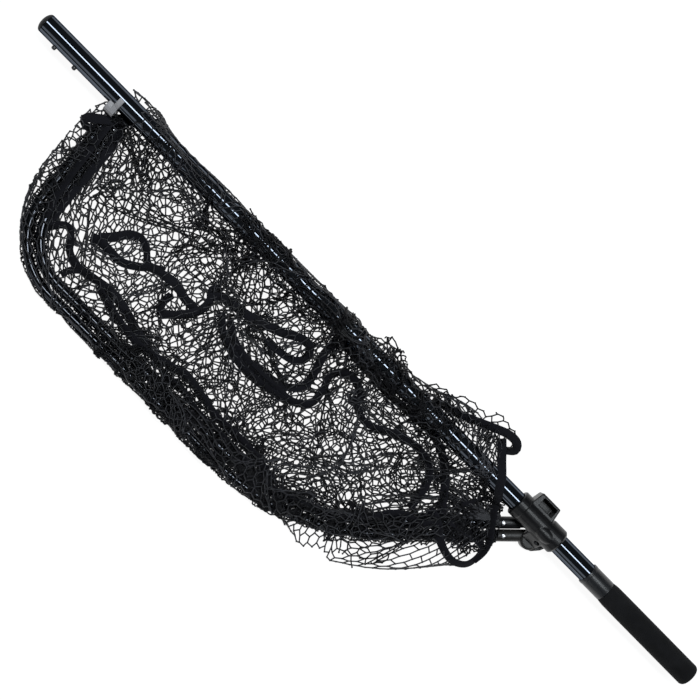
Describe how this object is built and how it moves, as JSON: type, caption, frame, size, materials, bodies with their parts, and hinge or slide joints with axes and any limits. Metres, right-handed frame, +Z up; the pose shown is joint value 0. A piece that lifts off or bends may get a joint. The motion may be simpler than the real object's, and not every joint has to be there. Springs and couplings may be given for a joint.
{
  "type": "folding landing net",
  "caption": "Stowed landing net: nested half hoops fold to one side of a sliding tube handle, held by a clip, with a crumpled net bag.",
  "frame": {"origin": "on the surface that the stowed net lies on, under the middle of its bounding box", "axes": "+X along the handle towards the grip, +Z up, and the folded hoop lies on the -Y side of the handle"},
  "size_m": [0.9649, 0.2422, 0.0467],
  "materials": {
    "tube": "gloss black anodised",
    "hoop_tube": "gloss black",
    "plug": "matte black moulding",
    "button": "black",
    "ferrule": "satin black",
    "grip": "fine closed-cell foam",
    "yoke": "moulded black",
    "arm": "moulded charcoal",
    "clip": "moulded grey",
    "steel": "bright",
    "netting": "knotted black nylon twine",
    "tape": "woven black binding tape"
  },
  "bodies": {
    "root": {"yoke_body": "yoke", "fixed_socket_arm": "arm", "arm_screw_1": "steel", "arm_screw_2": "steel", "yoke_hinge_pin": "steel", "hoop_tube_fixed": "hoop_tube", "socket_rivet_fixed": "steel", "front_rivet_fixed": "steel", "front_eye_fixed": "arm", "front_hinge_pin": "steel", "front_hinge_washer": "plug", "storage_clip": "clip", "clip_screw": "steel", "hem_fixed": "netting", "net_bag_fixed": "netting", "binding_tape": "tape"},
    "handle": {"handle_tube": "tube", "tip_plug": "plug", "snap_spring_front": "steel", "snap_spring_rear": "steel", "grip_ferrule": "ferrule", "foam_grip": "grip", "butt_plug": "plug"},
    "front_button": {"snap_button_front": "button"},
    "rear_button": {"snap_button_rear": "button"},
    "swing_hoop": {"swing_socket_arm": "yoke", "hoop_tube_swing": "hoop_tube", "socket_rivet_swing": "steel", "front_rivet_swing": "steel", "front_eye_swing": "arm", "hem_swing": "netting", "net_bag_swing": "netting"}
  },
  "joints": [
    {"name": "handle_slide", "type": "slide", "parent": "root", "child": "handle", "axis": [1, 0, 0], "range_m": [-0.04, 0.688]},
    {"name": "hoop_fold", "type": "hinge", "parent": "root", "child": "swing_hoop", "pos_m": [0, 0.0791, 0.0066], "axis": [1, 0, 0], "range_deg": [0, 178]},
    {"name": "front_button_press", "type": "slide", "parent": "handle", "child": "front_button", "axis": [0, 1, 0], "range_m": [0, 0.0032], "stiffness_N_per_m": 800, "springref_m": -0.002, "deforming": ["snap_spring_front"]},
    {"name": "rear_button_press", "type": "slide", "parent": "handle", "child": "rear_button", "axis": [0, 1, 0], "range_m": [0, 0.0032], "stiffness_N_per_m": 800, "springref_m": -0.002, "deforming": ["snap_spring_rear"]}
  ]
}
